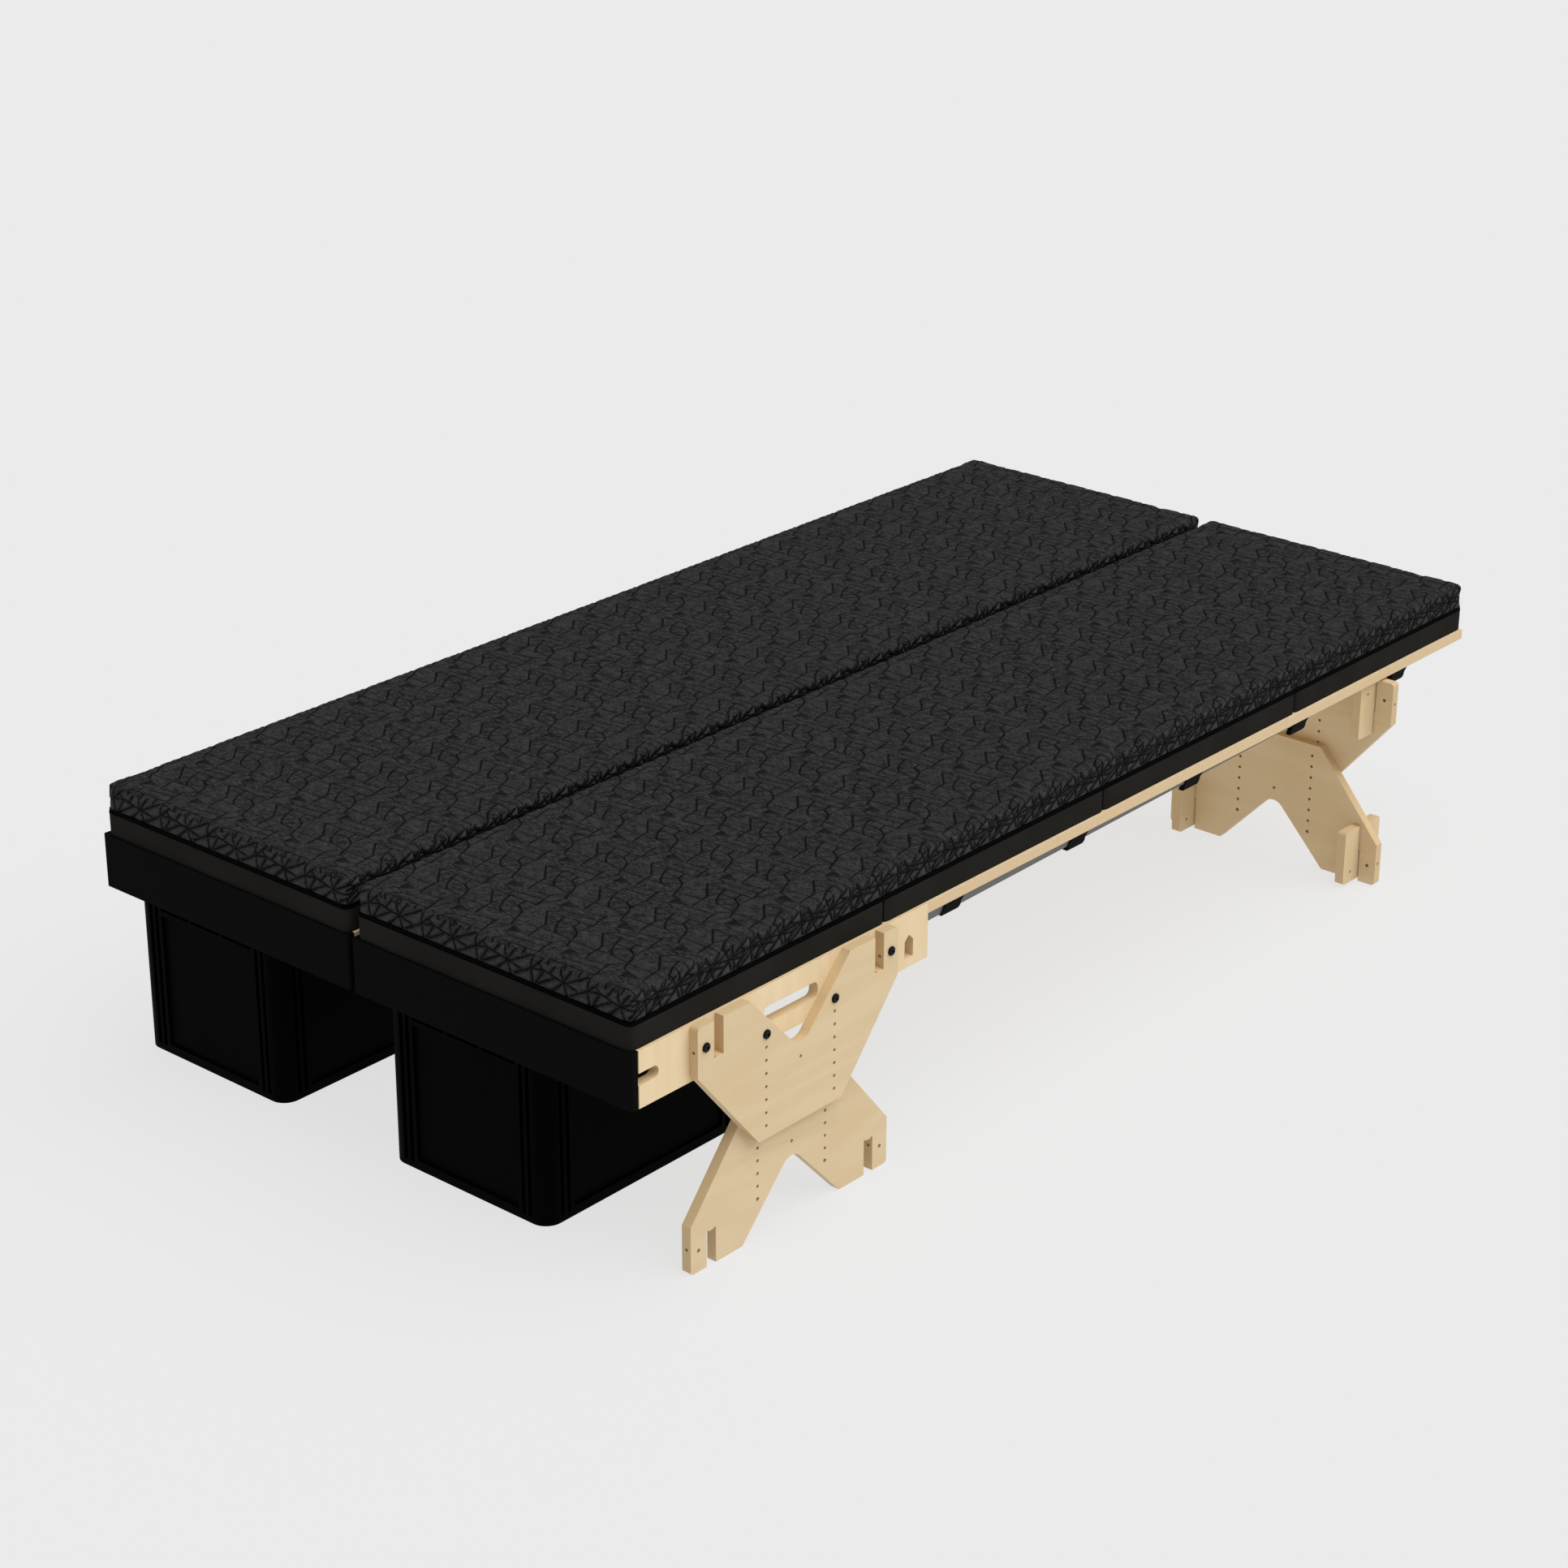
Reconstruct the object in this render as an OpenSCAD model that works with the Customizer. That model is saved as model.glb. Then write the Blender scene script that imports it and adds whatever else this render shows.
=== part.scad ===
// Modular sleeping platform: two half-width plank decks with cushions, carried by
// storage boxes at the near end and by slotted plywood X legs.
// Origin: on the floor, under the centre of the whole model. +Y runs to the far end, +Z is up.

/* [Deck] */
// Height of the deck's top face above the floor
deck_z = 360; // [340:1:380]
// Thickness of the plywood planks, panels and leg plates
ply = 15; // [12:1:15]
// Width of one half of the deck
unit_w = 500; // [480:1:520]
// Gap between the two halves
unit_gap = 8; // [4:1:14]
// Length of the deck behind the front panel
deck_len = 1943; // [1900:1:1990]
// Width of one deck plank, along the deck's length
plank_w = 289; // [270:1:300]

/* [Near frame] */
// Height of the near frame's panels
frame_h = 80; // [74:1:90]
// Length of the near frame
frame_len = 566; // [560:1:580]
// Thickness of the black front panel
front_t = 13; // [10:1:15]

/* [Cushions] */
// Length of the mattress
mattress_len = 1960; // [1940:1:1990]
// Height of the base cushions
cushion_h = 33; // [25:1:40]
// Height of the zip band above the base cushions
zip_h = 6; // [4:1:8]
// Height of the quilted topper
topper_h = 37; // [25:1:50]
// Inset of the cushions from the deck's long edges
cushion_inset = 3; // [2:1:8]

/* [Legs] */
// Width of a leg plate across its two arms
leg_w = 394; // [380:2:400]
// Height of a leg plate
leg_h = 208; // [200:1:214]
// Width of the open slots in the arms
slot_w = 18; // [16:1:20]
// Depth of the open slots in the arms
slot_d = 51; // [45:1:56]
// Height of a cross brace
brace_h = 90; // [80:1:96]
// Length of a cross brace
brace_l = 100; // [90:1:110]
// Distance of the far legs' lower plates from the deck's near end
far_leg_y = 1689; // [1600:1:1760]

/* [Storage boxes] */
// Outer width of a box
box_w = 296; // [280:1:300]
// Outer depth of a box
box_d = 396; // [380:1:400]
// Height of a box
box_h = 279; // [270:1:279]

/* [Hidden] */
$fn = 48;
half_w = unit_gap / 2 + unit_w;                  // the deck's long edge, from the centre
y_near = -(mattress_len + 2) / 2 + front_t;      // near face of the side panels
panel_z = deck_z - frame_h;                      // underside of the near frame
board_z = deck_z - ply;                          // underside of the planks
cushion_r = 12;
cushion_w = unit_w - 2 * cushion_inset;
mattress_y = y_near - front_t + 2;
section_len = mattress_len / 4;
plank_count = 5;
deck_end = y_near + deck_len;
rail_t = 4;                                      // thickness of a rail
rail_inset = 3.5;                                // from the plank's edge to the rail
rail_len = 930;
rail_deep = 14;                                  // depth at the near end
rail_slim = 3;                                   // depth at the far end
clip_w = 42;
clip_drop = 16;
clip_slant = 10;                                 // how far a clip's lower edge leans back
clip_depth = 8;
clip_inset = 1.5;                                // from the plank's edge to a clip
clip_first = 607;                                // first clip, from the near end
clip_pitch = 283;
hole_r = 2.5;
bolt_r = 3;
hole_rows = 8;
hole_first = 57;                                 // from the arms' end to the first hole of a row
hole_pitch = (deck_z - 2 * hole_first) / 13;
row_x = 67.5;                                    // hole rows, from the leg's centre line
arm_hole_x = 182;
arm_hole_z = 31;
leg_at = 288;                                    // centre of the side leg, along its panel
leg_y = y_near + leg_at;
far_y = y_near + far_leg_y;                      // near face of the far legs' lower plates
far_x = half_w - 176;                            // centre of a far leg
far_drop = 4;                                    // packing between the planks and a far leg
slot_x = 158;
brace_lift = 5;                                  // foot braces stand clear of the floor
box_y = y_near + 52;
box_x = [-half_w + 127, half_w - 367];           // centres of the left and right boxes
wall = 3;

// Colours of the finishes
birch = [0.93, 0.82, 0.62];
black = [0.04, 0.04, 0.04];
charcoal = [0.14, 0.13, 0.13];
quilt = [0.10, 0.10, 0.11];
grey_metal = [0.60, 0.60, 0.60];

// A rectangle with round corners, centred on the origin
module round_rect(w, d, r) {
    square([w - 2 * r, d], center = true);
    square([w, d - 2 * r], center = true);
    for (sx = [-1, 1], sy = [-1, 1])
        translate([sx * (w / 2 - r), sy * (d / 2 - r)]) circle(r);
}

// Mirrors its children into the left half of the platform when side is -1
module half(side) {
    if (side > 0) children();
    else mirror([1, 0, 0]) children();
}

// Turns a flat outline drawn in X and Y so that it stands in the YZ plane, its thickness along +X
module stand_yz(t) {
    rotate([90, 0, 90]) linear_extrude(t) children();
}

// ---- Cushions, drawn for the right half ----

module cushion_layer(y, len, z, h, r, inset) {
    translate([unit_gap / 2 + unit_w / 2, y + len / 2, z])
        linear_extrude(h) round_rect(cushion_w - 2 * inset, len - 2 * inset, r);
}

module topper(side) {
    color(quilt) half(side)
        cushion_layer(mattress_y, mattress_len, deck_z + cushion_h + zip_h, topper_h, cushion_r, 1);
}

module zip_band(side) {
    color(black) half(side)
        cushion_layer(mattress_y, mattress_len, deck_z + cushion_h, zip_h, cushion_r, 2);
}

module base_cushion(side, i) {
    color(charcoal) half(side)
        cushion_layer(mattress_y + (i - 1) * section_len, section_len, deck_z, cushion_h, 6, 0.4);
}

// ---- Near frame, drawn for the right half ----

module front_panel(side) {
    color(black) half(side)
        translate([unit_gap / 2 + unit_w / 2, y_near - front_t / 2, panel_z])
            linear_extrude(frame_h) round_rect(unit_w, front_t, 3);
}

// Outline of a side panel with its end slot, hand hole and far slot, seen along the panel
module side_panel_outline() {
    end_slot_l = 27;
    end_slot_r = 8.5;
    end_slot_z = frame_h - 39.5;
    hand_at = [285, frame_h - 42];
    hand_l = 107;
    hand_h = 24;
    hand_r = 9;
    far_slot_at = [517, frame_h - 66];
    far_slot_h = 34;
    difference() {
        square([frame_len, frame_h]);
        translate([0, end_slot_z - end_slot_r]) square([end_slot_l, 2 * end_slot_r]);
        translate([end_slot_l, end_slot_z]) circle(end_slot_r);
        translate(hand_at) round_rect(hand_l, hand_h, hand_r);
        translate(far_slot_at)
            polygon([[0, 0], [slot_w, 0], [slot_w, far_slot_h - slot_w / 2],
                     [slot_w / 2, far_slot_h], [0, far_slot_h - slot_w / 2]]);
        for (x = [-1, 1]) {
            translate([leg_at + x * arm_hole_x, frame_h - arm_hole_z]) circle(bolt_r);
            translate([leg_at + x * row_x, frame_h - hole_first]) circle(bolt_r);
        }
    }
}

module side_panel(x) {
    color(birch) translate([x, y_near, panel_z]) stand_yz(ply) side_panel_outline();
}

module frame_top(side) {
    color(birch) half(side)
        translate([unit_gap / 2 + ply, y_near, board_z])
            cube([unit_w - 2 * ply, frame_len, ply]);
}

module back_panel(side) {
    color(birch) half(side)
        translate([unit_gap / 2 + ply, y_near + frame_len - ply, panel_z])
            cube([unit_w - 2 * ply, ply, frame_h - ply]);
}

// ---- Planks, rails and clips, drawn for the right half ----

function plank_y(i) = y_near + frame_len + (i - 1) * plank_w;

module plank(side, i) {
    len = i < plank_count ? plank_w : deck_end - plank_y(i);
    color(birch) half(side)
        translate([unit_gap / 2, plank_y(i) + 0.15, board_z]) cube([unit_w, len - 0.3, ply]);
}

// A flat metal rail on edge, deeper at the near frame than at its far end
module rail(side, outer) {
    x = outer ? half_w - rail_inset - rail_t : unit_gap / 2 + rail_inset;
    color(grey_metal) half(side)
        translate([x, y_near + frame_len, board_z]) stand_yz(rail_t)
            polygon([[0, 0], [rail_len, 0], [rail_len, -rail_slim], [0, -rail_deep]]);
}

// A moulded clip with slanted ends and a rounded lower corner
module plank_clip_outline() {
    r = 8;
    low = clip_w - clip_slant;
    difference() {
        union() {
            polygon([[0, 0], [clip_w, 0], [low + 0.5, -clip_drop + r], [low - r, -clip_drop],
                     [-clip_slant, -clip_drop]]);
            translate([low - r + 0.5, -clip_drop + r]) circle(r);
        }
        translate([-clip_slant - 1, 0]) square([clip_w + 2 * clip_slant, r]);
    }
}

// The clips of one half, each with a channel for the rail that it holds to its plank
module plank_clips(side) {
    play = 0.2;
    channel = rail_t + 2 * play;
    color(black) half(side)
        for (outer = [true, false]) {
            clip_x = outer ? half_w - clip_inset - clip_depth : unit_gap / 2 + clip_inset;
            rail_x = outer ? half_w - rail_inset - rail_t : unit_gap / 2 + rail_inset;
            for (i = [0 : plank_count - 1]) difference() {
                translate([clip_x, y_near + clip_first + i * clip_pitch, board_z])
                    stand_yz(clip_depth) plank_clip_outline();
                translate([rail_x - play, y_near + frame_len - 2, board_z])
                    stand_yz(channel)
                        polygon([[0, 1], [rail_len + 4, 1], [rail_len + 4, -rail_slim - play],
                                 [0, -rail_deep - play]]);
            }
        }
}

// ---- Legs ----

// A leg plate with its arms' ends on y = 0 and its narrow end at y = -leg_h
module leg_outline() {
    arm = 70;
    narrow = 82;
    notch = 98;
    apex = 104;
    notch_r = 22;
    corner_r = 6;
    apex_y = -apex + notch_r / sin(atan(notch / apex));
    tangent_x = notch_r * cos(atan(notch / apex));
    tangent_y = apex_y - notch_r * sin(atan(notch / apex));
    difference() {
        union() {
            polygon([[-leg_w / 2, -corner_r], [-leg_w / 2, -arm], [-narrow, -leg_h], [narrow, -leg_h],
                     [leg_w / 2, -arm], [leg_w / 2, -corner_r], [leg_w / 2 - corner_r, 0],
                     [-leg_w / 2 + corner_r, 0]]);
            for (s = [-1, 1]) translate([s * (leg_w / 2 - corner_r), -corner_r]) circle(corner_r);
        }
        polygon([[-notch, 0.01], [-tangent_x, tangent_y], [tangent_x, tangent_y], [notch, 0.01],
                 [notch, 1], [-notch, 1]]);
        translate([0, apex_y]) circle(notch_r);
        for (s = [-1, 1]) {
            translate([s * slot_x - slot_w / 2, -slot_d]) square([slot_w, slot_d + 1]);
            for (e = [-1, 1]) translate([s * slot_x + e * (slot_w / 2 - 2), -slot_d]) circle(2);
            translate([s * arm_hole_x, -arm_hole_z]) circle(bolt_r);
            translate([s * row_x, -hole_first]) circle(bolt_r);
            for (k = [1 : hole_rows - 1])
                translate([s * row_x, -hole_first - k * hole_pitch]) circle(hole_r);
        }
        translate([0, -115]) circle(hole_r);
    }
}

// A leg plate of plywood, drilled from both narrow faces of its arms
module leg_plate() {
    difference() {
        linear_extrude(ply) leg_outline();
        for (s = [-1, 1])
            translate([s * (leg_w / 2 + 1), -36, ply / 2]) rotate([0, -s * 90, 0])
                cylinder(r = hole_r, h = leg_w / 2 - slot_x - slot_w / 2 + 2);
    }
}

module side_leg_upper() {
    color(birch) translate([half_w, leg_y, deck_z]) rotate([90, 0, 90]) leg_plate();
}

module side_leg_lower() {
    color(birch) translate([half_w - ply, leg_y, 0]) rotate([90, 0, 90])
        mirror([0, 1, 0]) leg_plate();
}

// Button-head bolts with a hex socket, through the upper plate and the side panel
module side_leg_bolts() {
    head_r = 6.5;
    head_h = 3.5;
    color(black) for (p = [[-arm_hole_x, arm_hole_z], [arm_hole_x, arm_hole_z],
                           [-row_x, hole_first], [row_x, hole_first]])
        translate([half_w, leg_y + p[0], deck_z - p[1]]) rotate([0, 90, 0]) difference() {
            union() {
                translate([0, 0, -ply]) cylinder(r = bolt_r - 0.05, h = 2 * ply + 1);
                translate([0, 0, ply]) cylinder(r = head_r, h = head_h - 1.5);
                translate([0, 0, ply + head_h - 1.5]) cylinder(r1 = head_r, r2 = head_r - 2, h = 1.5);
                translate([0, 0, -ply - 4]) cylinder(r = 5.5, h = 4);
            }
            translate([0, 0, ply + head_h - 2.5]) cylinder(r = 2.3, h = 3, $fn = 6);
        }
}

module far_leg_upper(side) {
    color(birch) half(side)
        translate([far_x, far_y + 2 * ply, board_z - far_drop]) rotate([90, 0, 0]) leg_plate();
}

module far_leg_lower(side) {
    color(birch) half(side)
        translate([far_x, far_y + ply, 0]) rotate([90, 0, 0]) mirror([0, 1, 0]) leg_plate();
}

// A plate with round corners, halved by a slot from its top edge down to hold_h above its foot
module brace_plate(hold_h) {
    screw_x = 30;
    screw_z = 18;
    linear_extrude(ply) difference() {
        translate([0, brace_h / 2]) round_rect(brace_l, brace_h, 6);
        translate([-slot_w / 2, hold_h]) square([slot_w, brace_h]);
        for (s = [-1, 1]) translate([s * screw_x, screw_z]) circle(hole_r);
    }
}

// outer is 1 for the brace at the platform's long edge and -1 for the one towards its middle
module foot_brace(side, outer) {
    color(birch) half(side)
        translate([far_x + outer * slot_x - ply / 2, far_y + ply / 2, brace_lift])
            rotate([90, 0, 90]) brace_plate(slot_d - brace_lift);
}

module top_brace(side, outer) {
    color(birch) half(side)
        translate([far_x + outer * slot_x - ply / 2, far_y + 1.5 * ply, board_z - far_drop])
            rotate([90, 0, 90]) mirror([0, 1, 0]) brace_plate(slot_d);
}

// Thin felt strips between the far legs' top braces and the planks
module leg_packers() {
    packer_l = 86;
    color(charcoal) for (side = [-1, 1], outer = [-1, 1])
        half(side) translate([far_x + outer * slot_x - ply / 2, far_y + 1.5 * ply - packer_l / 2,
                              board_z - far_drop])
            cube([ply, packer_l, far_drop]);
}

// ---- Storage box ----

// An open-topped moulded box with recessed walls between ribbed corner columns
module storage_box(x) {
    corner_r = 25;
    column = 52;                                 // from a corner to the recessed wall
    recess = 4;
    foot = 14;
    rim = 10;
    hold_h = 42;                                 // height of the hand-hold band
    sill = 8;                                    // between the band and the recessed wall
    groove_w = 7;
    groove_at = 30;                              // first groove, from the box's side
    groove_pitch = 12;
    rib = 4;                                     // between the pockets of the band
    depth = 2 * recess;
    skin = wall + recess;
    panel_h = box_h - foot - rim - hold_h - sill;
    hold_z = box_h - rim - hold_h / 2;
    pocket_x = (box_w - 2 * column + rib) / 3;
    pocket_y = (box_d - 2 * column + rib) / 3;
    color(black) translate([x, box_y + box_d / 2, 0]) difference() {
        linear_extrude(box_h) round_rect(box_w, box_d, corner_r);
        translate([0, 0, skin])
            linear_extrude(box_h) round_rect(box_w - 2 * skin, box_d - 2 * skin, corner_r - skin);
        for (s = [-1, 1]) {
            translate([0, s * box_d / 2, foot + panel_h / 2])
                cube([box_w - 2 * column, depth, panel_h], center = true);
            translate([s * box_w / 2, 0, foot + panel_h / 2])
                cube([depth, box_d - 2 * column, panel_h], center = true);
            for (u = [-1, 0, 1]) {
                translate([u * pocket_x, s * box_d / 2, hold_z])
                    cube([pocket_x - rib, depth, hold_h], center = true);
                translate([s * box_w / 2, u * pocket_y, hold_z])
                    cube([depth, pocket_y - rib, hold_h], center = true);
            }
            // upright grooves that leave two ribs on each face of a corner column
            for (t = [-1, 1], g = [0, 1]) {
                inward = groove_at + g * groove_pitch;
                translate([t * (box_w / 2 - inward), s * box_d / 2, box_h / 2])
                    cube([groove_w, depth, box_h - 2 * rim], center = true);
                translate([s * box_w / 2, t * (box_d / 2 - inward), box_h / 2])
                    cube([depth, groove_w, box_h - 2 * rim], center = true);
            }
        }
    }
}

topper(1);  // topper_right
topper(-1);  // topper_left
zip_band(1);  // zip_band_right
zip_band(-1);  // zip_band_left
base_cushion(1, 1);  // base_cushion_right_1
base_cushion(1, 2);  // base_cushion_right_2
base_cushion(1, 3);  // base_cushion_right_3
base_cushion(1, 4);  // base_cushion_right_4
base_cushion(-1, 1);  // base_cushion_left_1
base_cushion(-1, 2);  // base_cushion_left_2
base_cushion(-1, 3);  // base_cushion_left_3
base_cushion(-1, 4);  // base_cushion_left_4
front_panel(1);  // front_panel_right
front_panel(-1);  // front_panel_left
side_panel(half_w - ply);  // side_panel_right_outer
side_panel(unit_gap / 2);  // side_panel_right_inner
side_panel(-unit_gap / 2 - ply);  // side_panel_left_inner
side_panel(-half_w);  // side_panel_left_outer
frame_top(1);  // frame_top_right
frame_top(-1);  // frame_top_left
back_panel(1);  // back_panel_right
back_panel(-1);  // back_panel_left
plank(1, 1);  // plank_right_1
plank(1, 2);  // plank_right_2
plank(1, 3);  // plank_right_3
plank(1, 4);  // plank_right_4
plank(1, 5);  // plank_right_5
plank(-1, 1);  // plank_left_1
plank(-1, 2);  // plank_left_2
plank(-1, 3);  // plank_left_3
plank(-1, 4);  // plank_left_4
plank(-1, 5);  // plank_left_5
rail(1, true);  // rail_right_outer
rail(1, false);  // rail_right_inner
rail(-1, false);  // rail_left_inner
rail(-1, true);  // rail_left_outer
plank_clips(1);  // plank_clips_right
plank_clips(-1);  // plank_clips_left
side_leg_upper();
side_leg_lower();
side_leg_bolts();
far_leg_upper(1);  // far_leg_right_upper
far_leg_lower(1);  // far_leg_right_lower
far_leg_upper(-1);  // far_leg_left_upper
far_leg_lower(-1);  // far_leg_left_lower
top_brace(1, 1);  // top_brace_right_outer
top_brace(1, -1);  // top_brace_right_inner
top_brace(-1, -1);  // top_brace_left_inner
top_brace(-1, 1);  // top_brace_left_outer
foot_brace(1, 1);  // foot_brace_right_outer
foot_brace(1, -1);  // foot_brace_right_inner
foot_brace(-1, -1);  // foot_brace_left_inner
foot_brace(-1, 1);  // foot_brace_left_outer
leg_packers();
storage_box(box_x[1]);  // storage_box_right
storage_box(box_x[0]);  // storage_box_left
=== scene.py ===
import math

import bmesh
import bpy
import numpy as np
from mathutils import Matrix, Vector


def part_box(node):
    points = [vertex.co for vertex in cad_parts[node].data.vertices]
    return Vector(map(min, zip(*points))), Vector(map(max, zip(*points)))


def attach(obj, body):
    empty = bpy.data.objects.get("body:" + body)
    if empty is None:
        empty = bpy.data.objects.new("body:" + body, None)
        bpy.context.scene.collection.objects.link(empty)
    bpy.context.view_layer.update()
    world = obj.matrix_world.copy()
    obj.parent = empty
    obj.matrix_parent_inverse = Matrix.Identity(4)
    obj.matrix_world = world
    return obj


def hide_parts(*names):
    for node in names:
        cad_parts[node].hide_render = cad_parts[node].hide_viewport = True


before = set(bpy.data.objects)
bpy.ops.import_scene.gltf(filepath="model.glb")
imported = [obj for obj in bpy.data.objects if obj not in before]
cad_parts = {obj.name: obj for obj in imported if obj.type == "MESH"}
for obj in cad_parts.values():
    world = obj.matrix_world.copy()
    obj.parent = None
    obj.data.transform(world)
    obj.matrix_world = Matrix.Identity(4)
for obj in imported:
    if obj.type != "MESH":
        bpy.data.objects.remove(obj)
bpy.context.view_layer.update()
scene = bpy.context.scene
print("frame loaded:", len(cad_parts), "nodes")


def selectOnly(piece):
    bpy.ops.object.select_all(action="DESELECT")
    piece.select_set(True)
    bpy.context.view_layer.objects.active = piece


def openEdit(piece):
    selectOnly(piece)
    bpy.ops.object.mode_set(mode="EDIT")
    bpy.ops.mesh.select_mode(type="EDGE")


def closeEdit():
    bpy.ops.object.mode_set(mode="OBJECT")


def pickEdges(piece, wanted):
    bpy.ops.mesh.select_mode(type="EDGE")
    bpy.ops.mesh.select_all(action="DESELECT")
    mesh = bmesh.from_edit_mesh(piece.data)
    for edge in mesh.edges:
        if wanted(edge.verts[0].co, edge.verts[1].co):
            edge.select_set(True)
    bmesh.update_edit_mesh(piece.data)


def pickFaces(piece, wanted):
    bpy.ops.mesh.select_mode(type="FACE")
    bpy.ops.mesh.select_all(action="DESELECT")
    mesh = bmesh.from_edit_mesh(piece.data)
    for face in mesh.faces:
        if wanted(face.calc_center_median(), face.normal):
            face.select_set(True)
    bmesh.update_edit_mesh(piece.data)


def applyModifiers(piece):
    selectOnly(piece)
    for modifier in list(piece.modifiers):
        bpy.ops.object.modifier_apply(modifier=modifier.name)


def addBlock(name, low, high):
    bpy.ops.object.select_all(action="DESELECT")
    bpy.ops.mesh.primitive_cube_add(size=1, location=(low + high) / 2, scale=high - low)
    block = bpy.context.active_object
    block.name = name
    bpy.ops.object.transform_apply(location=True, rotation=True, scale=True)
    return block


def movedCopy(piece, name, shift, halfTurnAt=None):
    copy = piece.copy()
    copy.data = piece.data.copy()
    copy.name = name
    scene.collection.objects.link(copy)
    if halfTurnAt is not None:
        middle = Matrix.Translation(halfTurnAt)
        copy.data.transform(middle @ Matrix.Rotation(math.pi, 4, "Z") @ middle.inverted())
    copy.data.transform(Matrix.Translation(shift))
    return copy


fullTurn = 6.2832


class Wire:
    # one socket of a material, with the arithmetic that can be done on it
    def __init__(self, tree, socket):
        self.tree = tree
        self.socket = socket

    def node(self, kind, settings, inputs, out=0):
        made = self.tree.nodes.new(kind)
        for key, value in settings.items():
            setattr(made, key, value)
        for key, value in inputs.items():
            if isinstance(value, Wire):
                self.tree.links.new(value.socket, made.inputs[key])
            else:
                made.inputs[key].default_value = value
        return Wire(self.tree, made.outputs[out])

    def math(self, operation, *others):
        return self.node("ShaderNodeMath", {"operation": operation},
                         dict(enumerate((self,) + others)))

    def vector(self, operation, *others, out=0):
        return self.node("ShaderNodeVectorMath", {"operation": operation},
                         dict(enumerate((self,) + others)), out)

    def __add__(self, other):
        return self.math("ADD", other)

    def __radd__(self, other):
        return self + other

    def __sub__(self, other):
        return self.math("SUBTRACT", other)

    def __rsub__(self, other):
        return self.node("ShaderNodeMath", {"operation": "SUBTRACT"}, {0: other, 1: self})

    def __mul__(self, other):
        return self.math("MULTIPLY", other)

    def __rmul__(self, other):
        return self * other

    def ripple(self, length):
        # a wave of this length, from -1 to 1
        return (self * (fullTurn / length)).math("SINE")

    def within(self, start, end):
        # 0 at start, 1 at end and smooth between them
        return self.node("ShaderNodeMapRange", {"interpolation_type": "SMOOTHSTEP"},
                         {"Value": self, "From Min": start, "From Max": end})

    def axes(self):
        split = self.tree.nodes.new("ShaderNodeSeparateXYZ")
        self.tree.links.new(self.socket, split.inputs[0])
        return [Wire(self.tree, split.outputs[i]) for i in range(3)]

    def noise(self, scale, detail=2.0, roughness=0.5, distortion=0.0):
        return self.node("ShaderNodeTexNoise", {}, {
            "Vector": self, "Scale": scale, "Detail": detail, "Roughness": roughness,
            "Distortion": distortion})

    def blend(self, one, other):
        # the first colour where this wire is 0 and the second where it is 1
        return self.node("ShaderNodeMix", {"data_type": "RGBA"}, {0: self, 6: one, 7: other}, 2)

    def bump(self, distance, strength=1.0):
        return self.node("ShaderNodeBump", {}, {
            "Height": self, "Distance": distance, "Strength": strength})


class Finish:
    # a new material, with its shader and the place and direction of each point on the piece
    def __init__(self, name, rough, gloss, metal=0.0):
        self.material = bpy.data.materials.new(name)
        self.material.use_nodes = True
        self.tree = self.material.node_tree
        self.shader = self.tree.nodes["Principled BSDF"]
        self.shader.inputs["Roughness"].default_value = rough
        self.shader.inputs["Specular IOR Level"].default_value = gloss
        self.shader.inputs["Metallic"].default_value = metal
        place = self.tree.nodes.new("ShaderNodeTexCoord")
        self.place = Wire(self.tree, place.outputs["Object"])
        self.facing = Wire(self.tree, place.outputs["Normal"])

    def feed(self, **wires):
        names = {"colour": "Base Color", "rough": "Roughness", "normal": "Normal"}
        for key, wire in wires.items():
            self.tree.links.new(wire.socket, self.shader.inputs[names[key]])
        return self.material


def tone(red, green, blue):
    return (red, green, blue, 1.0)


plywood = {
    "pale": tone(0.76, 0.61, 0.40),
    "warm": tone(0.66, 0.49, 0.29),
    "core": tone(0.70, 0.53, 0.32),
    "glue": tone(0.58, 0.41, 0.23),
    "veneer": 0.00272,      # a pale and a dark layer together
    "alongGrain": 0.10,     # the figure is drawn out ten times along the fibres
    "cloud": 4.0,
    "ring": 14.0,
    "ringCount": 34.0,
    "fibre": 420.0,
    "relief": 0.00006,
    # painted light and shade: side panels tinted brighter, leg and brace sheets darker, for how light
    # falls on them
    "panels": (1.07, 1.08, 1.06),
    "legs": (0.91, 0.895, 0.84),
}


def birchFinish(name, through, grain, shift, strength):
    # through is the axis across the sheet, grain the one its fibres follow
    finish = Finish(name, 0.55, 0.25)
    stretch = [1.0, 1.0, 1.0]
    stretch[grain] = plywood["alongGrain"]
    moved = finish.place.vector("ADD", (shift, shift * 0.7, -shift))
    drawn = moved.vector("MULTIPLY", stretch)
    cloud = moved.noise(plywood["cloud"]).within(0.3, 0.75)
    rings = drawn.noise(plywood["ring"], 2.0, 0.45, 0.5) * plywood["ringCount"]
    fibre = drawn.noise(plywood["fibre"], 2.0, 0.6)
    figure = (cloud * 0.42 + (rings.math("SINE") * 0.5 + 0.5) * 0.26
              + fibre.within(0.3, 0.8) * 0.18)
    # strength scales every layer: above one it paints light, below one it paints shade
    pale, warm, core, glue = [tone(*[c * s for c, s in zip(plywood[layer], strength)])
                              for layer in ("pale", "warm", "core", "glue")]
    sheet = figure.blend(pale, warm)
    layers = moved.axes()[through].ripple(plywood["veneer"]).within(-0.3, 0.6)
    edge = (layers * 0.45 + fibre * 0.25).blend(core, glue)
    across = finish.facing.axes()[through].math("ABSOLUTE")
    onEdge = 1.0 - across.within(0.5, 0.8)
    return finish.feed(colour=onEdge.blend(sheet, edge),
                       rough=fibre * 0.15 + 0.45,
                       normal=(fibre + layers * onEdge * 0.4).bump(plywood["relief"]))


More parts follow.
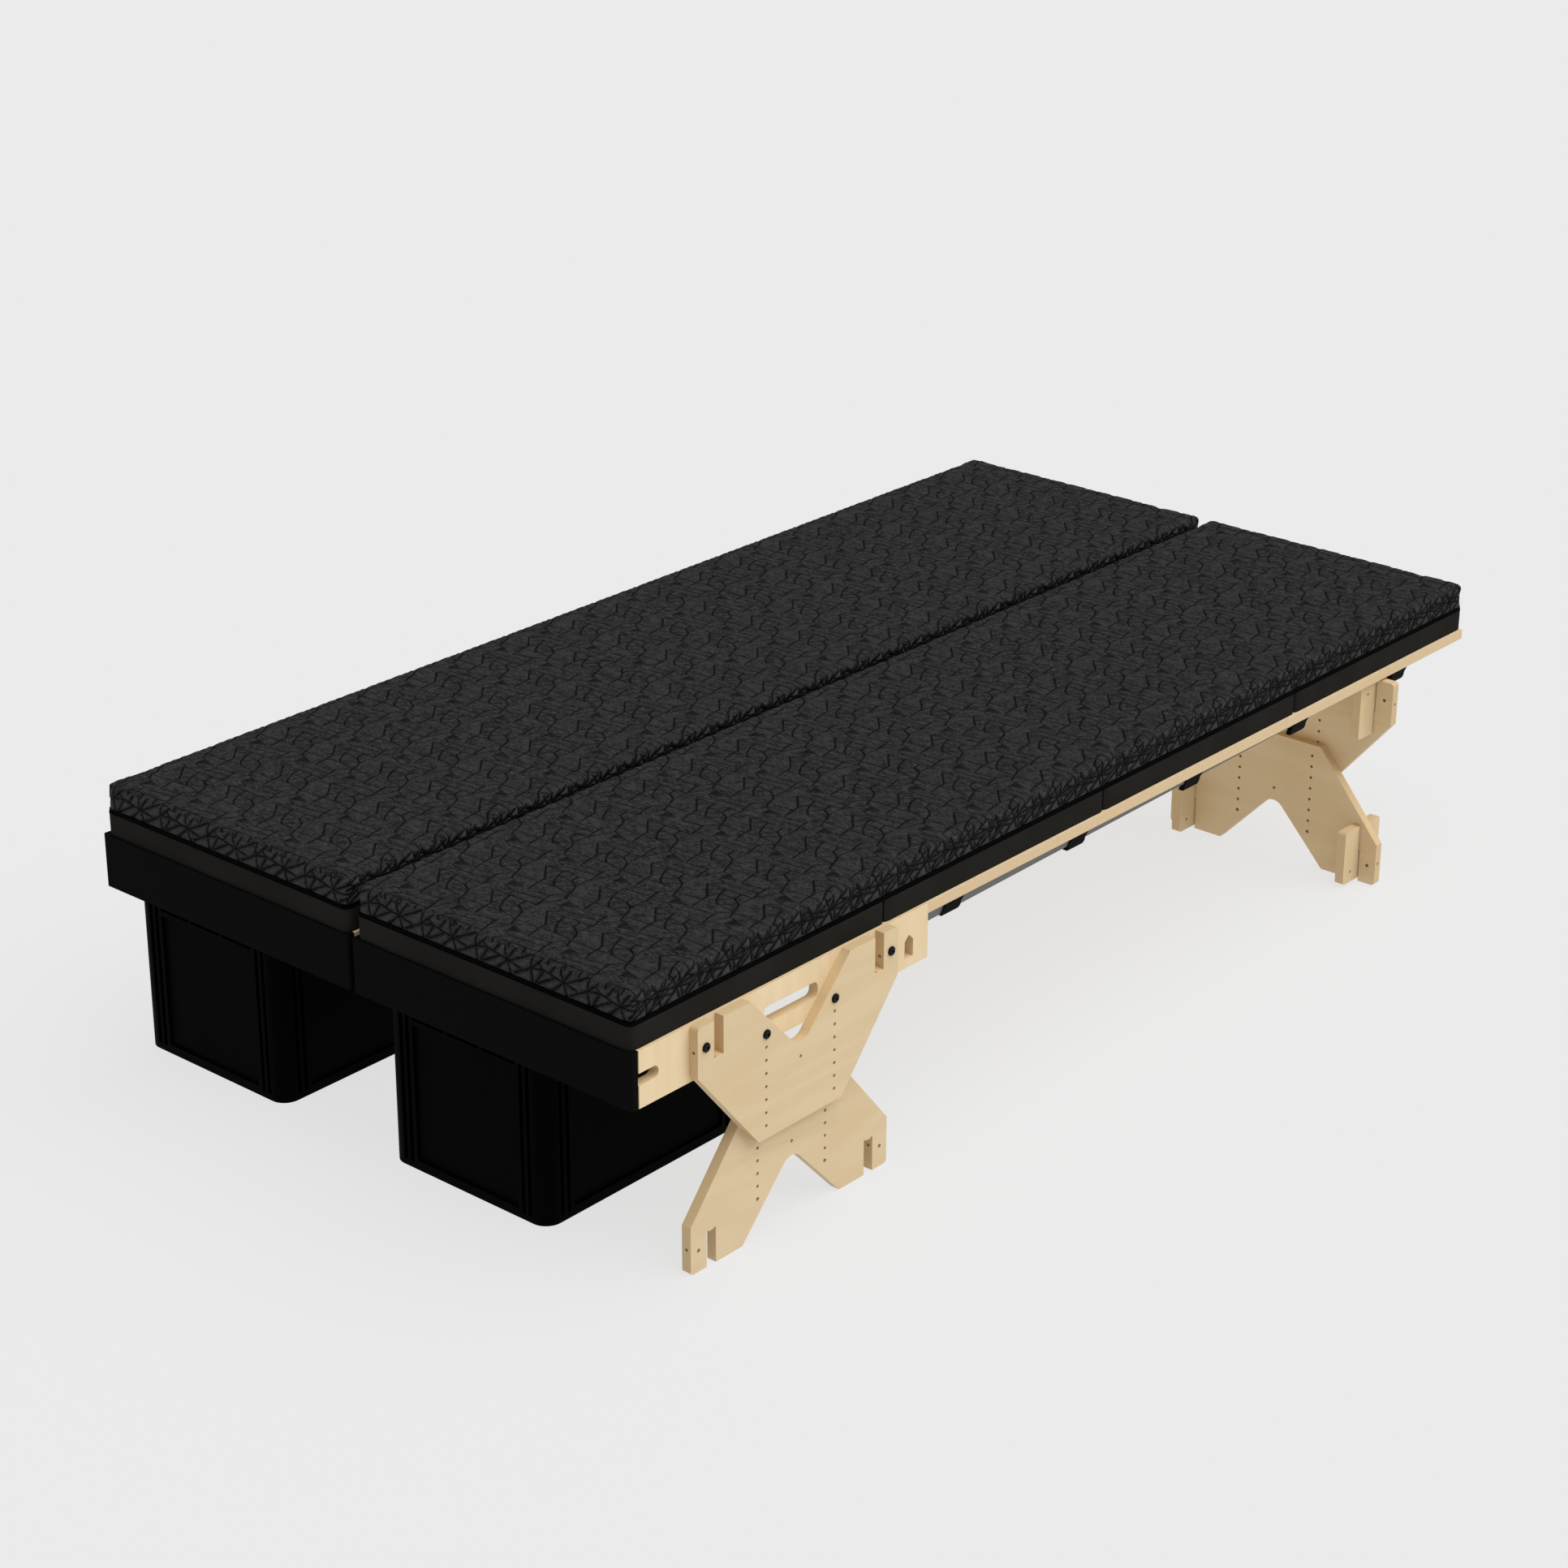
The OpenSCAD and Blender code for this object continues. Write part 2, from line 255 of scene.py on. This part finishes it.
quilt = {
    "tile": 0.098,
    "dark": tone(0.0066, 0.0066, 0.0068),
    "light": tone(0.0500, 0.0500, 0.0505),
    # painted shade: the colour laid into the creases and the tucked wedge
    "crease": tone(0.0012, 0.0012, 0.0013),
    "topStart": (0.040, -0.802),
    "sideStart": (0.0337, -0.9475),      # where a side's pattern starts along x and along y
    "leftStep": -0.5154,                 # from the right topper's pattern to the left one's
    "wrinkle": 190.0,
    "crumple": 75.0,
    "weave": 620.0,
    "wander": 60.0,                      # how closely the folds swerve, and how far
    "topWander": 0.0012,
    "sideWander": 0.0010,
    "faintFold": 0.72,
    "relief": 0.0012,
    "fold": 0.0060,                      # how wide the cloth dips towards a fold
    "topDip": 0.0013,
    "faintDip": 0.6,
    "hem": 0.0005,                       # the lowest strip stays flat on the zip band
    "sideDip": 0.0018,
    "deep": [                            # start and end of each fold in one repeat, in millimetres
        ((0.0, -2.0), (4.0, -14.0)), ((4.0, -14.0), (10.6, -27.0)),
        ((45.0, 0.0), (46.0, -12.0)), ((46.0, -12.0), (49.0, -30.0)),
        ((86.0, -31.0), (89.0, -47.0)), ((89.0, -47.0), (93.0, -63.0)),
        ((19.0, -69.0), (31.0, -82.5)), ((31.0, -82.5), (45.0, -98.0)),
        ((47.4, -65.0), (50.7, -79.0)), ((50.7, -79.0), (61.0, -98.0)),
        ((61.0, -98.0), (71.0, -107.0)), ((74.0, -65.0), (76.0, -80.0)),
        ((76.0, -80.0), (92.0, -89.0)), ((92.0, -89.0), (98.0, -100.0))],
    "faint": [
        ((93.0, -63.0), (74.0, -65.0)), ((74.0, -65.0), (47.4, -65.0)), ((50.7, -80.0), (76.0, -80.5)),
        ((71.0, -9.0), (102.0, -12.5)), ((19.0, -67.0), (47.4, -65.0)), ((53.0, -39.0), (88.0, -33.5)),
        ((92.5, -63.0), (92.0, -89.0)), ((49.0, -30.0), (53.0, -39.0)), ((31.0, -82.5), (47.4, -65.0)),
        ((61.0, -98.0), (76.0, -81.0)), ((71.0, -107.0), (91.0, -90.0)), ((86.0, -31.0), (102.0, -13.0)),
        ((89.0, -47.0), (36.0, -54.0)), ((36.0, -54.0), (18.0, -68.0)), ((10.6, -27.0), (19.0, -29.0)),
        ((45.0, -98.0), (50.7, -80.0)), ((46.0, -12.0), (71.0, -9.0)), ((19.0, -47.0), (36.0, -54.0)),
        ((4.0, -14.0), (46.0, -12.0)), ((10.6, -27.0), (-5.0, -63.0))],
    "sideAgain": (0.034, 0.001, 0.0),    # the same folds once more, moved along, make the close net
    "side": [
        ((0.0, 36.0), (0.0, 19.5)), ((0.0, 19.5), (2.5, 0.0)), ((0.0, 19.5), (-30.0, 3.0)),
        ((1.0, 20.0), (19.0, 36.0)), ((4.0, 20.0), (22.0, 23.5)), ((22.0, 23.5), (56.0, 17.3)),
        ((13.0, 29.0), (22.0, 23.5)), ((32.5, 22.0), (42.0, 36.0)), ((7.5, 1.0), (22.0, 23.0)),
        ((10.0, 1.0), (42.0, 19.0)), ((38.0, 1.0), (56.0, 17.3)), ((56.0, 17.3), (62.0, 0.0)),
        ((56.0, 17.3), (49.0, 36.0)), ((56.0, 17.3), (68.5, 36.0)), ((58.0, 17.0), (97.0, 36.0)),
        ((56.0, 17.3), (80.0, 13.0))],
    "pinch": ((18.8, -29.0), (50.0, -38.0), (19.6, -47.0)),
    "pinchFade": 0.034,
}


def fromCorner(spot, corner):
    # the way from a corner of the pattern to a point, in the nearest repeat
    half = quilt["tile"] / 2
    offset = spot.vector("SUBTRACT", (corner[0] / 1000, corner[1] / 1000, 0.0))
    return offset.vector("WRAP", (half,) * 3, (-half,) * 3)


def creaseDistance(spot, folds):
    # how far a point of the repeat is from the nearest fold, in metres
    nearest = None
    for start, end in folds:
        run = [(end[0] - start[0]) / 1000, (end[1] - start[1]) / 1000]
        length = math.hypot(*run)
        along = (run[0] / length, run[1] / length, 0.0)
        offset = fromCorner(spot, start)
        reach = offset.vector("DOT_PRODUCT", along, out=1)
        reach = reach.math("MAXIMUM", 0.0).math("MINIMUM", length)
        foot = offset.node("ShaderNodeVectorMath", {"operation": "SCALE"},
                           {0: along, "Scale": reach})
        gap = offset.vector("DISTANCE", foot, out=1)
        nearest = gap if nearest is None else gap.math("MINIMUM", nearest)
    return nearest


def pinchMask(spot):
    # a tucked wedge: darkest along its upright edge and gone at its tip; it is sunk in the relief and
    # painted into the colour as shade
    corners = quilt["pinch"]
    first = corners[0]
    offset = fromCorner(spot, first)
    inside = None
    for start, end in zip(corners, corners[1:] + corners[:1]):
        run = (end[0] - start[0], end[1] - start[1])
        length = math.hypot(*run)
        inward = (run[1] / length, -run[0] / length, 0.0)
        place = ((start[0] - first[0]) / 1000, (start[1] - first[1]) / 1000, 0.0)
        depth = offset.vector("SUBTRACT", place).vector("DOT_PRODUCT", inward, out=1)
        part = depth.within(-0.0005, 0.0015)
        inside = part if inside is None else inside * part
    return inside * (1.0 - offset.axes()[0].within(0.0, quilt["pinchFade"]) * 0.75)


def quiltFinish(name, step, side=None):
    # side is None for the top face, or the axis that runs along that side
    finish = Finish(name, 0.8, 0.04)
    x, y, z = finish.place.axes()
    turned = finish.place.node("ShaderNodeMapping", {}, {
        "Vector": finish.place, "Rotation": (0.0, 0.0, math.radians(-45)), "Scale": (0.40, 1.0, 1.0)})
    wrinkle = turned.noise(quilt["wrinkle"], 3.0, 0.6, 0.8)
    # painted highlight: thin bright streaks along the wrinkle ridges
    ridgeHighlight = 1.0 - ((wrinkle - 0.5).math("ABSOLUTE") * 9.0).within(0.0, 1.0)
    crumple = finish.place.noise(quilt["crumple"], 2.0, 0.6, 0.6)
    wander = finish.place.noise(quilt["wander"], 1.0) - 0.5
    weave = turned.noise(quilt["weave"], 2.0, 0.6)
    # grain mixes the fine weave with painted highlights on the ridges and painted light and shade of the
    # crumples
    grain = ridgeHighlight * 0.38 + weave.within(0.42, 0.72) * 0.40 + crumple.within(0.35, 0.7) * 0.25
    if side is None:
        start = quilt["topStart"]
        spot = x.node("ShaderNodeCombineXYZ", {}, {0: x - (start[0] + step), 1: y - start[1]})
        swerve = wander * quilt["topWander"]
        line = 1.0 - (creaseDistance(spot, quilt["deep"]) - swerve).within(0.0003, 0.0023)
        weak = 1.0 - (creaseDistance(spot, quilt["faint"]) - swerve).within(0.0001, 0.0019)
        fold = pinchMask(spot)
        creased = line.math("MAXIMUM", weak * quilt["faintFold"])
        height = wrinkle * 1.2 + crumple * 0.9 - creased * 1.1 - fold * 1.6
        # painted shade: the creases and the tucked wedge are darkened in the colour
        dark = (creased * 0.9).math("MAXIMUM", fold * 0.85)
        light = grain * 0.9
    else:
        start = quilt["sideStart"][side] + (step if side == 0 else 0)
        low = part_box("topper_right")[0].z
        spot = x.node("ShaderNodeCombineXYZ", {}, {0: (x, y)[side] - start, 1: z - low})
        near = creaseDistance(spot, quilt["side"])
        if side == 1:
            again = spot.vector("ADD", quilt["sideAgain"])
            near = near.math("MINIMUM", creaseDistance(again, quilt["side"]))
        near = near - wander * quilt["sideWander"]
        height = wrinkle * 0.8 + crumple * 0.8 + near.within(0.0, quilt["fold"]) * 2.6
        # painted shade: the side creases are darkened in the colour
        dark = (1.0 - near.within(0.0003, 0.0018)) * 0.95
        # painted light: the puffed facets are brighter between the side creases
        light = grain * 0.75 + near.within(0.001, 0.004) * 0.42
    cloth = light.blend(quilt["dark"], quilt["light"])
    return finish.feed(colour=dark.blend(cloth, quilt["crease"]),
                       rough=0.75 - light * 0.2,
                       normal=(height + weave * 0.15).bump(quilt["relief"]))


coverCloth = {
    "dark": tone(0.0125, 0.0116, 0.0098),
    "light": tone(0.0180, 0.0168, 0.0145),
    "thread": 0.0009,
    "relief": 0.00012,
}


def coverFinish(name):
    finish = Finish(name, 0.9, 0.04)
    x, y, z = finish.place.axes()
    thread = coverCloth["thread"]
    weave = (x + y).ripple(thread) * z.ripple(thread) * 0.25 + 0.5
    shade = finish.place.noise(12.0, 3.0).within(0.3, 0.7) * 0.6 + weave * 0.3
    height = weave + finish.place.noise(25.0) * 1.5
    return finish.feed(colour=shade.blend(coverCloth["dark"], coverCloth["light"]),
                       normal=height.bump(coverCloth["relief"]))


zipTape = {
    "tape": tone(0.0010, 0.0010, 0.0010),
    "coil": tone(0.0050, 0.0050, 0.0048),
    "tooth": 0.0021,
    "coilHalf": 0.0011,
    "relief": 0.0003,
}


def zipFinish(name):
    finish = Finish(name, 0.7, 0.02)
    x, y, z = finish.place.axes()
    low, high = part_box("zip_band_right")
    tooth = (x + y).ripple(zipTape["tooth"])
    away = (z - (low.z + high.z) / 2).math("ABSOLUTE")
    coil = 1.0 - away.within(0.0006, zipTape["coilHalf"])
    shade = coil * (tooth * 0.3 + 0.7)
    height = coil * tooth + finish.place.noise(900.0, 1.0) * 0.2
    return finish.feed(colour=shade.blend(zipTape["tape"], zipTape["coil"]),
                       normal=height.bump(zipTape["relief"]))


def plasticFinish(name, look):
    # moulded or laminated black, with a fine grain and slightly paler scuffs
    finish = Finish(name, look["rough"], look["gloss"])
    pebble = finish.place.noise(look["grain"], 2.0, 0.6)
    scuff = finish.place.noise(9.0, 3.0).within(0.45, 0.8)
    return finish.feed(colour=(scuff * 0.7 + pebble * 0.3).blend(look["colour"], look["worn"]),
                       rough=scuff * 0.12 + look["rough"],
                       normal=pebble.bump(look["relief"]))


railLook = {"dark": tone(0.13, 0.13, 0.125), "light": tone(0.20, 0.20, 0.19), "streak": 900.0}


def railFinish(name):
    finish = Finish(name, 0.4, 0.5, 0.9)
    drawn = finish.place.vector("MULTIPLY", (1.0, 0.02, 1.0))
    streak = drawn.noise(railLook["streak"])
    return finish.feed(colour=streak.blend(railLook["dark"], railLook["light"]),
                       rough=streak * 0.2 + 0.35, normal=streak.bump(0.00003))


boltLook = {"dark": tone(0.0015, 0.0015, 0.0015), "light": tone(0.0045, 0.0045, 0.0045)}


def steelFinish(name):
    finish = Finish(name, 0.35, 0.12)
    spot = finish.place.noise(300.0)
    return finish.feed(colour=spot.blend(boltLook["dark"], boltLook["light"]),
                       rough=spot * 0.2 + 0.25, normal=spot.bump(0.00002))


feltLook = {"dark": tone(0.02, 0.02, 0.02), "light": tone(0.06, 0.06, 0.06)}


def feltFinish(name):
    finish = Finish(name, 0.95, 0.1)
    hair = finish.place.noise(1200.0, 3.0, 0.7)
    return finish.feed(colour=hair.blend(feltLook["dark"], feltLook["light"]),
                       normal=hair.bump(0.0003))


boxLook = {"colour": tone(0.0007, 0.0007, 0.0007), "worn": tone(0.0017, 0.0017, 0.0016),
           "rough": 0.5, "gloss": 0.012, "grain": 700.0, "relief": 0.00008}
panelLook = {"colour": tone(0.0034, 0.0034, 0.0034), "worn": tone(0.0050, 0.0050, 0.0050),
             "rough": 0.6, "gloss": 0.012, "grain": 1400.0, "relief": 0.00003}
clipLook = {"colour": tone(0.0030, 0.0030, 0.0030), "worn": tone(0.0060, 0.0060, 0.0060),
            "rough": 0.5, "gloss": 0.03, "grain": 900.0, "relief": 0.00004}

blackBox = plasticFinish("mouldedBlack", boxLook)
blackPanel = plasticFinish("laminateBlack", panelLook)
blackClip = plasticFinish("clipBlack", clipLook)
railMetal = railFinish("railMetal")
blackSteel = steelFinish("boltSteel")
felt = feltFinish("feltStrip")


def birchFor(name):
    # the axis across the sheet is the piece's thinnest side
    low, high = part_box(name)
    size = high - low
    through = min(range(3), key=lambda i: size[i])
    grain = {0: 1, 1: 0, 2: 0}[through]
    strength = (1, 1, 1)
    if "brace" in name or "side_panel" in name:
        grain = 2
    # painted light and shade: side panels are tinted brighter, legs and braces darker
    if "side_panel" in name:
        strength = plywood["panels"]
    elif "leg" in name or "brace" in name:
        strength = plywood["legs"]
    shift = 0.37 * (sum(map(ord, name)) % 23)      # so that no two sheets show the same figure
    return birchFinish("birch_" + name, through, grain, shift, strength)


def finishFor(name):
    if name.startswith("storage_box"):
        return blackBox
    if name.startswith("front_panel"):
        return blackPanel
    if name.startswith("plank_clips"):
        return blackClip
    if name.startswith("rail"):
        return railMetal
    if name == "side_leg_bolts":
        return blackSteel
    if name == "leg_packers":
        return felt
    return birchFor(name)


softNodes = [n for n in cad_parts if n.startswith(("topper", "zip_band", "base_cushion"))]
for name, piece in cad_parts.items():
    if name not in softNodes:
        piece.data.materials.clear()
        piece.data.materials.append(finishFor(name))
print("finishes on the CAD pieces done")


padding = {
    "voxel": 0.006,
    "pressure": 4.0,
    "frames": 15,
    "stiff": 12.0,
    "quality": 4,
    "spread": (0.4, 0.4, 1.0),      # how much of the swelling is kept along x, y and z
    "weld": 0.0004,
    "crease": math.radians(55),
}
tight = 1e-5                        # two places closer than this are the same


def roundedBlock(name, low, high, corners, edge):
    # corners holds the radius of the near pair and of the far pair of upright edges
    block = addBlock(name, low, high)
    middle = (low.y + high.y) / 2
    openEdit(block)
    for nearPair, radius in ((True, corners[0]), (False, corners[1])):
        pickEdges(block, lambda a, b: abs(a.z - b.z) > tight and (a.y < middle) == nearPair
                  and min(abs(a.x - low.x), abs(a.x - high.x)) < tight
                  and min(abs(a.y - low.y), abs(a.y - high.y)) < tight)
        bpy.ops.mesh.bevel(offset=radius, segments=6, affect="EDGES")
    pickEdges(block, lambda a, b: abs(a.z - b.z) < tight
              and min(abs(a.z - low.z), abs(a.z - high.z)) < tight)
    bpy.ops.mesh.bevel(offset=edge, segments=3, affect="EDGES")
    closeEdit()
    return block


def padOut(piece, cap, floorZ, ceilingZ):
    # swells a block like foam in its cover, by no more than cap, and cuts it level where it rests
    remesh = piece.modifiers.new("skin", "REMESH")
    remesh.mode = "VOXEL"
    remesh.voxel_size = padding["voxel"]
    applyModifiers(piece)
    rest = np.empty(len(piece.data.vertices) * 3)
    piece.data.vertices.foreach_get("co", rest)
    rest = rest.reshape(-1, 3)
    cloth = piece.modifiers.new("padding", "CLOTH")
    cloth.settings.use_pressure = True
    cloth.settings.uniform_pressure_force = padding["pressure"]
    cloth.settings.tension_stiffness = padding["stiff"]
    cloth.settings.compression_stiffness = padding["stiff"]
    cloth.settings.effector_weights.gravity = 0
    cloth.settings.quality = padding["quality"]
    cloth.point_cache.frame_start = 1
    cloth.point_cache.frame_end = padding["frames"]
    for step in range(1, padding["frames"] + 1):
        scene.frame_set(step)
    moved = piece.evaluated_get(bpy.context.evaluated_depsgraph_get()).data
    out = np.empty(len(moved.vertices) * 3)
    moved.vertices.foreach_get("co", out)
    piece.modifiers.remove(cloth)
    shift = (out.reshape(-1, 3) - rest) * padding["spread"]
    far = np.linalg.norm(shift, axis=1, keepdims=True)
    rest = rest + shift * (cap * np.tanh(far / cap) / np.maximum(far, 1e-9))
    rest[:, 2] = np.clip(rest[:, 2], floorZ, ceilingZ)
    piece.data.vertices.foreach_set("co", rest.ravel())
    piece.data.update()
    openEdit(piece)
    bpy.ops.mesh.select_all(action="SELECT")
    bpy.ops.mesh.remove_doubles(threshold=padding["weld"])
    bpy.ops.mesh.normals_make_consistent(inside=False)
    closeEdit()
    selectOnly(piece)
    bpy.ops.object.shade_smooth_by_angle(angle=padding["crease"])
    print(piece.name, "padded:", len(piece.data.polygons), "faces")


# tuck is how far a block is carried past a face that lies against another piece,
# before it is cut level
topperShape = {
    "corner": 0.010,
    "edge": 0.003,
    "cap": 0.0030,
    "start": 0.0002,
    "tuck": 0.010,
    "crown": 0.002,
    "topFrom": 0.6,      # a face belongs to the top when it looks up more than this
}
cushionShape = {
    "corner": 0.010,
    "seam": 0.0030,
    "edge": 0.003,
    "cap": 0.0012,
    "start": 0.0004,
    "tuck": 0.010,
}
halfStep = Vector((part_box("topper_left")[0].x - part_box("topper_right")[0].x, 0, 0))


def foldGap(u, v, folds):
    # the same distance as creaseDistance, for every vertex at once
    half = quilt["tile"] / 2
    nearest = np.full(len(u), half)
    for start, end in folds:
        run = (np.array(end) - np.array(start)) / 1000
        length = np.hypot(*run)
        along = run / length
        du = (u - start[0] / 1000 + half) % (2 * half) - half
        dv = (v - start[1] / 1000 + half) % (2 * half) - half
        reach = np.clip(du * along[0] + dv * along[1], 0, length)
        nearest = np.minimum(nearest, np.hypot(du - reach * along[0], dv - reach * along[1]))
    return nearest


def dip(gap):
    t = np.clip(gap / quilt["fold"], 0, 1)
    return 1 - t * t * (3 - 2 * t)


def turnedTo(part):
    # 1 on faces that look straight that way, and 0 on faces that look well past it
    return np.clip(part * 2 - 0.6, 0, 1)


def sewFolds(topper, step):
    # the cloth is drawn in along each fold of the pattern
    count = len(topper.data.vertices)
    place, out = np.empty(count * 3), np.empty(count * 3)
    topper.data.vertices.foreach_get("co", place)
    topper.data.vertices.foreach_get("normal", out)
    place, out = place.reshape(-1, 3), out.reshape(-1, 3)
    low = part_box("topper_right")[0].z
    start = quilt["topStart"]
    u, v = place[:, 0] - start[0] - step, place[:, 1] - start[1]
    deep = dip(foldGap(u, v, quilt["deep"]))
    faint = dip(foldGap(u, v, quilt["faint"])) * quilt["faintDip"]
    depth = np.maximum(deep, faint) * quilt["topDip"] * turnedTo(out[:, 2])
    for axis in (0, 1):
        u = place[:, axis] - quilt["sideStart"][axis] - (step if axis == 0 else 0)
        v = place[:, 2] - low
        inward = dip(foldGap(u, v, quilt["side"])) * quilt["sideDip"]
        depth = np.maximum(depth, inward * turnedTo(np.abs(out[:, 1 - axis])))
    depth[place[:, 2] < low + quilt["hem"]] = 0
    place -= out * depth[:, None]
    topper.data.vertices.foreach_set("co", place.ravel())
    topper.data.update()


def makeToppers():
    low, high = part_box("topper_right")
    start = topperShape["start"]
    inner = low + Vector((start, start, -topperShape["tuck"]))
    outer = high - Vector((start, start, start))
    corners = (topperShape["corner"],) * 2
    topper = roundedBlock("quiltedTopper_right", inner, outer, corners, topperShape["edge"])
    padOut(topper, topperShape["cap"], low.z, high.z + topperShape["crown"])
    smooth = topper.modifiers.new("finer", "SUBSURF")
    smooth.levels = smooth.render_levels = 1
    applyModifiers(topper)
    toppers = [topper, movedCopy(topper, "quiltedTopper_left", halfStep)]
    for piece, side, step in zip(toppers, ("Right", "Left"), (0.0, quilt["leftStep"])):
        sewFolds(piece, step)
        piece.data.materials.append(quiltFinish("quiltTop" + side, step))
        piece.data.materials.append(quiltFinish("quiltEnds" + side, step, 0))
        piece.data.materials.append(quiltFinish("quiltSides" + side, step, 1))
        for face in piece.data.polygons:
            if face.normal.z < topperShape["topFrom"]:
                face.material_index = 2 if abs(face.normal.x) > abs(face.normal.y) else 1
    return toppers


def makeCushions():
    # one end section and one middle section are padded, and the eight cushions are copies of them
    cover = coverFinish("cushionCover")
    masters = []
    low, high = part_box("base_cushion_right_1")
    start, tuck = cushionShape["start"], cushionShape["tuck"]
    inner = low + Vector((start, start, -tuck))
    outer = high + Vector((-start, -start, tuck))
    corner, seam = cushionShape["corner"], cushionShape["seam"]
    for corners in ((corner, seam), (seam, seam)):
        cushion = roundedBlock("cushion_master", inner, outer, corners, cushionShape["edge"])
        padOut(cushion, cushionShape["cap"], low.z, high.z)
        cushion.data.materials.append(cover)
        masters.append(cushion)
    end, middle = masters
    centre = (low + high) / 2
    made = []
    for side in ("right", "left"):
        for number in (1, 2, 3, 4):
            node = "base_cushion_%s_%d" % (side, number)
            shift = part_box(node)[0] - low
            source = end if number in (1, 4) else middle
            turnAt = centre if number == 4 else None
            piece = movedCopy(source, "cushion_%s_%d" % (side, number), shift, turnAt)
            made.append((piece, node))
    for master in masters:
        bpy.data.objects.remove(master)
    return made


zipShape = {
    "corner": 0.010,
    "crease": math.radians(50),
    "profile": [          # height above the cushions, and inset from their face
        (0.0000, 0.0014), (0.0012, 0.0014), (0.0016, 0.0030), (0.0023, 0.0030), (0.0025, 0.0020),
        (0.0035, 0.0020), (0.0037, 0.0030), (0.0044, 0.0030), (0.0048, 0.0020), (0.0060, 0.0020)],
}


def makeZipBands():
    # the outline is raised step by step, drawn in and out to make the tape's edges and the coil
    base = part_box("zip_band_right")[0].z
    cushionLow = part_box("base_cushion_right_1")[0]
    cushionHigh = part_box("base_cushion_right_4")[1]
    first = zipShape["profile"][0][1]
    rise = zipShape["profile"][1][0]
    start = Vector((cushionLow.x + first, cushionLow.y + first, base))
    end = Vector((cushionHigh.x - first, cushionHigh.y - first, base + rise))
    band = addBlock("zipBand_right", start, end)
    centre = (start + end) / 2
    openEdit(band)
    pickEdges(band, lambda a, b: abs(a.z - b.z) > tight)
    bpy.ops.mesh.bevel(offset=zipShape["corner"], segments=8, affect="EDGES")
    pickFaces(band, lambda c, n: n.z > 0.9)
    full = cushionHigh - cushionLow
    last = (rise, first)
    for height, inset in zipShape["profile"][2:]:
        lift = (0, 0, height - last[0])
        bpy.ops.mesh.extrude_region_move(TRANSFORM_OT_translate={"value": lift})
        grow = [(full[i] - 2 * inset) / (full[i] - 2 * last[1]) for i in range(2)]
        bpy.ops.transform.resize(value=(grow[0], grow[1], 1),
                                 center_override=(centre.x, centre.y, base))
        last = (height, inset)
    closeEdit()
    band.data.materials.append(zipFinish("zipTape"))
    selectOnly(band)
    bpy.ops.object.shade_smooth_by_angle(angle=zipShape["crease"])
    return [band, movedCopy(band, "zipBand_left", halfStep)]


for piece, side in zip(makeToppers(), ("right", "left")):
    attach(piece, "platform")
    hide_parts("topper_" + side)
for piece, node in makeCushions():
    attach(piece, "platform")
    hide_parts(node)
for piece, side in zip(makeZipBands(), ("right", "left")):
    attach(piece, "platform")
    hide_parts("zip_band_" + side)
print("padded pieces done")


studio = {
    "floorSize": 80.0,
    "floor": tone(0.10, 0.10, 0.10),
    "floorGlow": 0.712,      # most of its brightness is its own, so it takes only a faint shadow
    "wall": tone(0.0, 0.0, 0.0),
    "wallGlow": 0.83,
    "wallRadius": 30.0,
    "wallHeight": 5.5,
    "gap": 0.0004,           # keeps the floor just under the feet
    "sky": 0.265,
    "sun": 3.1,
    "sunFrom": (0.40, 0.14, 0.90),
    "sunSpread": math.radians(70),
}


def glowing(piece, name, colour, strength):
    piece.name = name
    finish = Finish(name, 0.9, 0.0)
    finish.shader.inputs["Base Color"].default_value = colour
    finish.shader.inputs["Emission Color"].default_value = tone(1.0, 1.0, 1.0)
    finish.shader.inputs["Emission Strength"].default_value = strength
    piece.data.materials.append(finish.material)


def makeStudio():
    bpy.ops.object.select_all(action="DESELECT")
    bpy.ops.mesh.primitive_plane_add(size=studio["floorSize"], location=(0, 0, -studio["gap"]))
    floor = bpy.context.active_object
    glowing(floor, "studioFloor", studio["floor"], studio["floorGlow"])
    bpy.ops.object.select_all(action="DESELECT")
    bpy.ops.mesh.primitive_cylinder_add(
        vertices=96, radius=studio["wallRadius"], depth=studio["wallHeight"],
        end_fill_type="NOTHING", location=(0, 0, studio["wallHeight"] / 2))
    wall = bpy.context.active_object
    glowing(wall, "studioWall", studio["wall"], studio["wallGlow"])
    world = bpy.data.worlds.new("studio")
    scene.world = world
    world.use_nodes = True
    sky = world.node_tree.nodes["Background"]
    sky.inputs["Color"].default_value = tone(*(studio["sky"],) * 3)
    bpy.ops.object.light_add(type="SUN", location=(2, 1, 4))
    sun = bpy.context.active_object
    sun.data.energy = studio["sun"]
    sun.data.angle = studio["sunSpread"]
    sun.rotation_mode = "QUATERNION"
    sun.rotation_quaternion = Vector(studio["sunFrom"]).to_track_quat("Z", "Y")
    scene.view_settings.view_transform = "Standard"


view = {
    "place": (3.0892, -3.6933, 2.3232),
    "turn": 0.711964,
    "tilt": 0.404741,
    "roll": 0.003027,
    "lens": 79.38,
    "sensor": 36.0,
}


def makeCamera():
    camera = bpy.data.objects.new("camera", bpy.data.cameras.new("camera"))
    scene.collection.objects.link(camera)
    camera.data.sensor_width = view["sensor"]
    camera.data.lens = view["lens"]
    camera.matrix_world = (Matrix.Translation(view["place"]) @ Matrix.Rotation(view["turn"], 4, "Z")
                           @ Matrix.Rotation(math.pi / 2 - view["tilt"], 4, "X")
                           @ Matrix.Rotation(view["roll"], 4, "Z"))
    scene.camera = camera


makeStudio()
makeCamera()
print("studio done")
